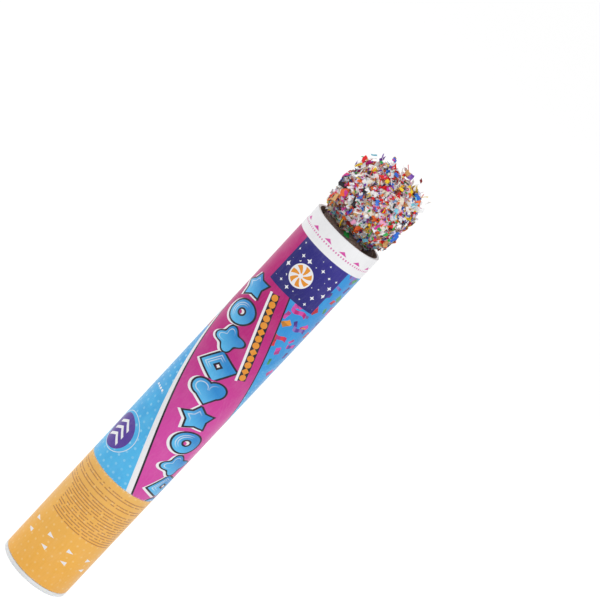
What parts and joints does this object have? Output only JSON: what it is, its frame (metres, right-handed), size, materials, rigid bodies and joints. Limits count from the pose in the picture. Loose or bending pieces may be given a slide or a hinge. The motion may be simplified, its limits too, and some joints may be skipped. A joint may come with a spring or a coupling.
{
  "type": "party popper",
  "caption": "Hand-held twist-action confetti cannon: cardboard tube with an air bottle in the grip, a turning printed barrel and confetti heaped out of the muzzle.",
  "frame": {"origin": "centre of the end cap's foot ring, on the surface that the popper stands on", "axes": "+Z along the tube's axis, from the end cap up to the muzzle; the side with the ribbon print faces -Y"},
  "size_m": [0.05, 0.05, 0.344],
  "materials": {
    "cap_plastic": "white moulded plastic, satin",
    "pad_foam": "dark closed-cell foam",
    "cardboard": "dark spiral-wound cardboard, matt",
    "grip_print": "orange printed paper, glossy film",
    "cradle_plastic": "dark grey moulded plastic",
    "bottle_plastic": "natural blow-moulded plastic",
    "seal_rubber": "black rubber, matt",
    "valve_plastic": "red moulded plastic",
    "ring_steel": "spring steel",
    "plug_plastic": "yellow moulded plastic",
    "barrel_print": "sky blue, magenta and violet printed paper, glossy film",
    "collar_plastic": "white moulded plastic",
    "torn_foil": "torn dark foil paper",
    "grey_board": "grey board",
    "wad_foam": "white foam",
    "confetti": "mixed paper, tissue and foil flakes"
  },
  "bodies": {
    "grip": {"end_cap": "cap_plastic", "base_pad": "pad_foam", "grip_tube": "cardboard", "grip_wrap": "grip_print", "bottle_cradle": "cradle_plastic", "air_bottle": "bottle_plastic", "fill_valve": "seal_rubber", "neck_gasket": "seal_rubber", "valve_body": "valve_plastic", "retaining_ring": "ring_steel"},
    "barrel": {"barrel_tube": "cardboard", "barrel_wrap": "barrel_print", "cam_collar": "collar_plastic", "burst_seal": "torn_foil"},
    "plug": {"valve_plug": "plug_plastic", "plug_seal_lower": "seal_rubber", "plug_seal_upper": "seal_rubber"},
    "charge": {"pusher_disc": "grey_board", "foam_wad": "wad_foam", "confetti_charge": "confetti"}
  },
  "joints": [
    {"name": "twist", "type": "hinge", "parent": "grip", "child": "barrel", "pos_m": [0, 0, 0.0878], "axis": [0, 0, 1], "range_deg": [0, 90]},
    {"name": "plug_lift", "type": "slide", "parent": "grip", "child": "plug", "axis": [0, 0, 1], "range_m": [0, 0.006]},
    {"name": "shot", "type": "slide", "parent": "barrel", "child": "charge", "axis": [0, 0, 1], "range_m": [0, 0.205]}
  ],
  "couplings": [
    {"joint": "plug_lift", "follows": "twist", "m_per_rad": 0.003819}
  ]
}
